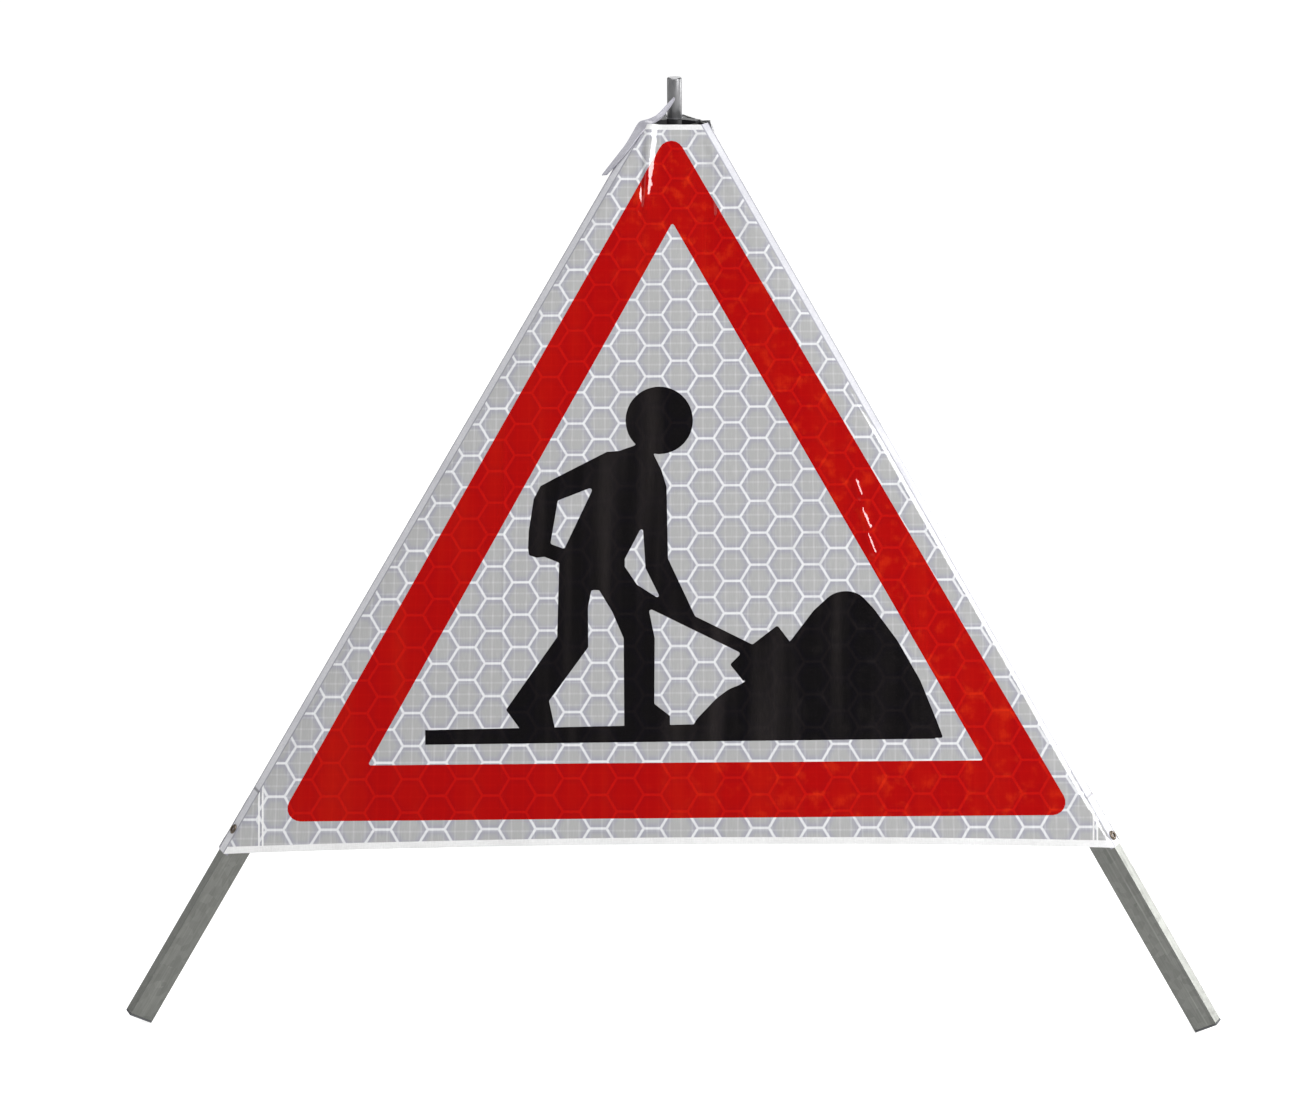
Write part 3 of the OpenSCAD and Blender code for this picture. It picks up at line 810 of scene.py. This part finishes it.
# %% The nine sheets
def sheet_mesh(strip, angle, left, right):
    """Points, print spots, faces and zones of one sheet: a front layer, a back layer and the rim."""
    spin = Matrix.Rotation(angle, 3, "Z")
    number, points, spots, faces, zones = {}, [], [], [], []
    chosen = [(corners, zone) for corners, side, zone in plan_faces if side == strip]
    for corner in sorted({corner for corners, zone in chosen for corner in corners}):
        height = cover_height(*plan_points[corner], angle)
        x, depth = pulled(*plan_points[corner], left, right)
        number[corner] = len(points)
        layers = (height, height - sheet_thickness)
        points += [spin @ face_point(x, depth, layer) for layer in layers]
        spot = film_spot(x, depth)
        if from_weld(plan_points[corner].x) > weld_half - weld_margin:
            spot = spot + patch_shift[math.copysign(1, x)]
        spots += [spot] * 2
    edges = set()
    for corners, zone in chosen:
        front = [number[corner] for corner in corners]
        faces += [front[::-1], [corner + 1 for corner in front]]
        zones += [zone, BACK]
        edges |= set(zip(front, front[1:] + front[:1]))
    # An edge that no other triangle runs back along lies on the rim.
    for start, end in sorted(edge for edge in edges if edge[::-1] not in edges):
        faces.append([start, end, end + 1, start + 1])
        zones.append(BORDER)
    return points, spots, faces, zones


film = [film_white, film_red, film_black, border, cover_back]
face_table = {
    "front": (0, {-1: ("left", "leg_left"), 1: ("right", "leg_right")}),
    "right": (120, {-1: ("front", "leg_right"), 1: ("rear", "leg_rear")}),
    "left": (240, {-1: ("rear", "leg_rear"), 1: ("front", "leg_left")}),
}
for face, (angle, wings) in face_table.items():
    raised = [hem_raised[wings[side][1]] for side in (-1, 1)]
    for strip in (-1, 0, 1):
        wing, leg = wings.get(strip, ("middle", None))
        body = f"{face}_wing_{wing}" if strip else f"{face}_middle"
        node = f"{face}_cover_{wing}"
        points, spots, faces, zones = sheet_mesh(strip, math.radians(angle), *raised)
        name = f"{face}_sheet_{wing}"
        piece = add_piece(name, points, faces, film, body, node, zones)
        store_print(piece, spots)
        bottom = face_bottom if strip else face_bottom - cover_bow
        top = fold_line / math.tan(half_angle) if strip else face_top
        width = half_width(face_bottom) - fold_line if strip else 2 * fold_line
        # A wing is a triangle, half of the rectangle round it.
        area = width * (bottom - top) * (0.5 if strip else 1)
        bottom - top
print("sheets made, each wing", round(half_width(face_bottom) - fold_line, 3), "m wide")

# %% [markdown]
# ## Strips over the legs
#
# Where two faces meet, a strip of coated fabric runs over the leg's outer face. Its two lips bend round
# the tube's corners and end under the sheets. The strip is one cross-section, drawn once as an outer and
# an inner line with an arc at each corner, and swept down the leg.

# %% Sweeping rings of points
def sweep(rings):
    """Points and faces of a closed tube through rings with the same number of points."""
    count = len(rings[0])
    points = [point for ring in rings for point in ring]
    faces = []
    for ring in range(len(rings) - 1):
        for index in range(count):
            ahead = (index + 1) % count
            low, high = ring * count, (ring + 1) * count
            faces.append([low + index, low + ahead, high + ahead, high + index])
    faces.append(list(range(count))[::-1])
    faces.append([(len(rings) - 1) * count + index for index in range(count)])
    return points, faces


strip_inner = 0.0003
strip_outer = 0.0008
strip_steps = 65
corner_steps = 5
corner_turn = legs["right"].out.angle(face_normal)
# The strip's slow swell over the flat part of the leg, and the step of the patch at its lower end.
swell_height = 0.00012
swell_rate = 60
swell_share = 0.9
patch_step = 0.0005
patch_ramp = 0.0002


def strip_line(offset):
    """One side of the strip's cross-section, out and round the tube, at an offset from the tube."""
    line = []
    for sign in (-1, 1):
        side = []
        for step in range(corner_steps + 1):
            turn = corner_turn * step / corner_steps
            out = leg_depth / 2 + offset * math.cos(turn)
            around = leg_width / 2 + offset * math.sin(turn)
            side.append((out, around))
        side.append((out - lip * math.sin(corner_turn), around + lip * math.cos(corner_turn)))
        side = [(out, sign * around) for out, around in side]
        line += side[::-1] if sign < 0 else side
    return line


section = strip_line(strip_outer) + strip_line(strip_inner)[::-1]
for name, leg in legs.items():
    strip_low = hem_raised[f"leg_{name}"] / math.cos(half_angle) - cover_bottom
    strip_length = cover_top - strip_low
    strip_stations = [strip_low + strip_length * step / strip_steps for step in range(strip_steps + 1)]
    strip_stations = sorted(strip_stations + [patch_top - patch_ramp, patch_top + patch_ramp])
    rings, spots = [], []
    for up in strip_stations:
        swell = swell_height * math.sin(up * swell_rate) + swell_height
        swell += patch_step if up < patch_top else 0
        ring = []
        for out, around in section:
            on_flat = abs(around) < swell_share * leg_width / 2
            ring.append((out + (swell if on_flat else 0), around))
        rings.append([leg.point(out, around, up) for out, around in ring])
        spots += [(around, up) for out, around in ring]
    points, faces = sweep(rings)
    piece = add_piece(f"edge_strip_{name}", points, faces, [edge_strip], f"leg_{name}",
                      f"cover_edge_{name}")
    store_print(piece, spots)

# %% [markdown]
# ## Closure flap
#
# At the top of the left corner a loose end of the strip is folded over the opening, with a pointed
# tongue that stands up beside the lamp spigot. It is a thin ribbon: a few stations give its edges, and a
# smooth curve through them gives the rest.

# %% Ribbon through stations
def between(stations, share):
    """A point of the smooth curve through the stations."""
    last = len(stations) - 1
    index = min(int(share * last), last - 1)
    part = share * last - index
    near = [min(max(index + shift, 0), last) for shift in (-1, 0, 1, 2)]
    before, start, end, after = (Vector(stations[place]) for place in near)
    slope, next_slope = (end - before) / 2, (after - start) / 2
    square, cube = part * part, part ** 3
    return (start * (2 * cube - 3 * square + 1) + slope * (cube - 2 * square + part)
            + end * (3 * square - 2 * cube) + next_slope * (cube - square))


flap_thickness = 0.0009
flap_bead = 0.0003
# Both edges of the flap, as places out from the leg, round it and up it.
flap_rear = [
    (0.0196, -0.0180, -0.0680), (0.0186, -0.0130, -0.0450), (0.0179, -0.0088, -0.0250),
    (0.0178, -0.0081, -0.0100), (0.0177, -0.0074, 0.0060), (0.0125, -0.0030, 0.0140),
    (0.0082, 0.0026, 0.0232), (0.0050, 0.0045, 0.0376), (0.0036, 0.0066, 0.0476),
    (0.0031, 0.0080, 0.0508)]
flap_front = [
    (0.0187, -0.0105, -0.0655), (0.0178, -0.0015, -0.0430), (0.0176, 0.0045, -0.0250),
    (0.0176, 0.0076, -0.0100), (0.0160, 0.0112, 0.0062), (0.0085, 0.0100, 0.0160),
    (0.0034, 0.0090, 0.0262), (0.0018, 0.0090, 0.0373), (0.0014, 0.0092, 0.0456),
    (0.0022, 0.0094, 0.0500)]
leg = legs["left"]
across_steps = 8
along_steps = 72
nearby = 0.01
rings, spots = [], []
for step in range(along_steps + 1):
    share = step / along_steps
    rear, front = between(flap_rear, share), between(flap_front, share)
    width = front - rear
    run = between(flap_rear, min(1, share + nearby)) - between(flap_rear, max(0, share - nearby))
    proud = width.cross(run).normalized()
    outer, inner = [], []
    for index in range(across_steps + 1):
        bead = flap_bead if index in (0, across_steps) else 0
        spot = rear + width * (index / across_steps)
        outer.append(spot + proud * bead)
        inner.append(spot - proud * (flap_thickness + bead))
    ring = outer + inner[::-1]
    rings.append([leg.point(*spot) for spot in ring])
    spots += [(spot.y, spot.z) for spot in ring]
points, faces = sweep(rings)
flap = add_piece("closure_flap_ribbon", points, faces, [flap_cloth], "leg_left",
                 "closure_flap")
store_print(flap, spots)
print("flap", len(points), "points")

# %% [markdown]
# ## Rivets
#
# A blind rivet holds each strip near its lower end: a domed head with the hole that the pulled stem has
# left, a shank through the tube's wall and a squeezed end inside. The whole rivet is one profile turned
# about its axis.

# %% Rivets turned from a profile
# How far down the leg a rivet sits, and its profile as radius and place out from the leg's middle.
rivet_below = 0.942
rivet_profile = [
    (0.0002, 0.0142), (0.0025, 0.0143), (0.0027, 0.0172), (0.0030, 0.0180), (0.0038, 0.0182),
    (0.0047, 0.0178), (0.0055, 0.0170), (0.0058, 0.0163), (0.0031, 0.0161), (0.0031, 0.0134),
    (0.0042, 0.0132), (0.0043, 0.0122), (0.0030, 0.0115), (0.0002, 0.0114)]
rivet_turns = turns(32)
for name, leg in legs.items():
    rings = []
    for radius, out in rivet_profile:
        ring = [(radius * math.cos(turn), radius * math.sin(turn) - rivet_below) for turn in rivet_turns]
        rings.append([leg.point(out, around, up) for around, up in ring])
    points, faces = sweep(rings)
    add_piece(f"rivet_{name}", points, faces, [rivet_metal], f"leg_{name}",
              f"cover_rivet_{name}")
print("rivets", len(legs))

# %% [markdown]
# ## Spring
#
# The spring sits on the shaft between the stop and the runner and pushes the runner up, which keeps the
# cover taut. It is a round wire swept along a helix whose turns lie closer at both ends. When the sign
# folds, the runner comes down and presses the spring, but this mesh is made at its rest length and rides
# with the shaft.

# %% Spring
spring_radius = 0.0125
spring_wire = 0.003
spring_turns = 16
spring_rings = 20
wire_turns = turns(10)
# How much closer the turns lie at the ends.
closing = 0.58

spring_low, spring_high = (corner[2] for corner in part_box("runner_spring"))
rings = []
for ring in range(spring_turns * spring_rings + 1):
    share = ring / (spring_turns * spring_rings)
    turn = 2 * math.pi * spring_turns * share
    rise = share - closing * math.sin(2 * math.pi * share) / (2 * math.pi)
    height = spring_low + spring_wire / 2 + (spring_high - spring_low - spring_wire) * rise
    outward = Vector((math.cos(turn), math.sin(turn), 0))
    middle = outward * spring_radius + Vector((0, 0, height))
    spokes = [outward * math.cos(around) + Vector((0, 0, math.sin(around))) for around in wire_turns]
    rings.append([middle + spring_wire / 2 * spoke for spoke in spokes])
points, faces = sweep(rings)
spring = add_piece("spring_wire", points, faces, [spring_steel], "crown_and_shaft",
                   "runner_spring")
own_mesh(spring)

# %% [markdown]
# ## Finishes on the solids
#
# The solids keep their shape. Real edges are never perfectly sharp, so each solid gets a small bevel as
# a modifier, which leaves its mesh as it is. The legs' finish is drawn out along each leg, so each has
# its own.

# %% Finish and soft edges of the solids
def dress(node, finish, edge):
    solid = frame["nodes"][node]
    solid.data.materials.clear()
    solid.data.materials.append(finish)
    weld = solid.modifiers.new("weld", "WELD")
    weld.merge_threshold = 0.00001
    bevel = solid.modifiers.new("bevel", "BEVEL")
    bevel.width = edge
    bevel.segments = 2
    bevel.limit_method = "ANGLE"
    bevel.angle_limit = math.radians(38)
    bevel.harden_normals = True


# The tube's own weld: where it lies on the side, how its line fades, and how near the side it shows.
seam_out = 0.0045
seam_fade = (0.0002, 0.0016)
seam_side = (0.006, 0.007)
seam_gain = 0.4
tube_greys = [(106, 108, 104), (168, 169, 164)]


def tube_seam(leg):
    """A pattern for one leg: the faint line of the tube's own weld, on the side before the leg."""
    def seam(place):
        across = run_along(place, tuple(leg.out)) - leg.hinge.dot(leg.out)
        side = leg.hinge.dot(leg.round) - run_along(place, tuple(leg.round))
        line = 1 - fade(across.math("ABSOLUTE", across - seam_out), *seam_fade)
        breaks = noise(drawn_out(place, tuple(leg.up), share=0.9), scale=120.0)
        return line * fade(breaks, low=0.4, high=0.6) * fade(side, *seam_side) * seam_gain
    return seam


for name, leg in legs.items():
    tube = steel_finish(f"galvanised_{name}", tube_greys, tuple(leg.up), seam=tube_seam(leg))
    dress(f"leg_{name}", tube, edge=0.0006)
    dress(f"foot_{name}", grey_plastic, edge=0.0005)
    dress(f"strut_bracket_{name}", zinc_plate, edge=0.0003)
    dress(f"bracket_rivets_{name}", rivet_metal, edge=0.0002)
    dress(f"bracket_pin_{name}", zinc_pins, edge=0.0002)
    dress(f"strut_{name}", zinc_plate, edge=0.0004)
for node in ("crown", "runner", "shaft_stop"):
    dress(node, black_nylon, edge=0.0006)
for node in ("lamp_spigot", "centre_shaft"):
    dress(node, bright_steel, edge=0.0003)
for node in ("crown_cross_pin", "leg_hinge_pins", "runner_pins"):
    dress(node, zinc_pins, edge=0.0002)
print("solids dressed")

# %% [markdown]
# ## Floor and light
#
# The sign stands on a plain pale floor before a white backdrop. The floor glows as white as the
# backdrop, but it is dim where the glossy film mirrors it, or the print would look hazy. The sky gives
# little light. Six soft lamps give the rest: a key lamp on the right puts the glints on the creases, a
# wide one overhead gives the sign its form, and others light the left, the two sides and the back.

# %% Floor
floor_half = 40.0
floor_gap = 0.0005
floor_mesh = bpy.data.meshes.new("floor")
corners = [(-1, -1), (1, -1), (1, 1), (-1, 1)]
floor_points = [(x * floor_half, y * floor_half, -floor_gap) for x, y in corners]
floor_mesh.from_pydata(floor_points, [], [(0, 1, 2, 3)])
floor = bpy.data.objects.new("floor", floor_mesh)
scene.collection.objects.link(floor)
floor_finish, place = start_finish("floor_paper")
paper = mix_colours(noise(place, scale=3.0), (0.60, 0.60, 0.60, 1), (0.62, 0.62, 0.62, 1))
distance = place.node("ShaderNodeVectorMath", {"operation": "LENGTH"}, {0: place}, "Value")
mirrored = place.node("ShaderNodeLightPath", output="Is Glossy Ray")
near_glow, far_glow, mirrored_glow = ((grey, grey, grey, 1) for grey in (0.87, 1, 0.1))
glow = mix_colours(fade(distance, low=2.5, high=9.0), near_glow, far_glow)
glow = mix_colours(mirrored, glow, mirrored_glow)
fixed = {"Specular IOR Level": 0.1, "Emission Color": glow, "Emission Strength": 1.0}
end_finish(place, paper, 0.9, fixed)
floor_mesh.materials.append(floor_finish)
print("floor", 2 * floor_half, "m")

# %% Light
world = bpy.data.worlds.new("world")
world.use_nodes = True
world.node_tree.nodes.clear()
sky = Wire(world.node_tree)
seen = sky.node("ShaderNodeLightPath", output="Is Camera Ray")
light = sky.node("ShaderNodeBackground", {}, {"Color": (1, 1, 1, 1), "Strength": 0.06})
backdrop = sky.node("ShaderNodeBackground", {}, {"Color": (1, 1, 1, 1), "Strength": 1.0})
both = sky.node("ShaderNodeMixShader", {}, {0: seen, 1: light, 2: backdrop})
sky.node("ShaderNodeOutputWorld", {}, {"Surface": both})
scene.world = world
scene.view_settings.view_transform = "Standard"


def soft_lamp(name, place, size, power, aim=(0, 0, 0.5)):
    data = bpy.data.lights.new(name, "AREA")
    data.size = size
    data.energy = power
    lamp = bpy.data.objects.new(name, data)
    scene.collection.objects.link(lamp)
    way = Vector(aim) - Vector(place)
    turned = way.to_track_quat("-Z", "Y").to_matrix().to_4x4()
    lamp.matrix_world = Matrix.Translation(place) @ turned
    lamp.visible_camera = False


soft_lamp("key", (2.7, -2.3, 2.1), size=1.5, power=84, aim=(0, 0, 0.6))
soft_lamp("overhead", (0, -0.6, 4.6), size=3.5, power=110)
soft_lamp("fill", (-3.4, -2.2, 2.4), size=2.8, power=14)
soft_lamp("rear", (0.6, 3.6, 2.6), size=2.8, power=42)
soft_lamp("right", (4.2, 1.8, 0.9), size=1.9, power=60, aim=(0.3, 0, 0.5))
soft_lamp("left", (-4.2, 1.7, 1.8), size=3.0, power=19, aim=(-0.3, 0, 0.5))
print("lamps set")
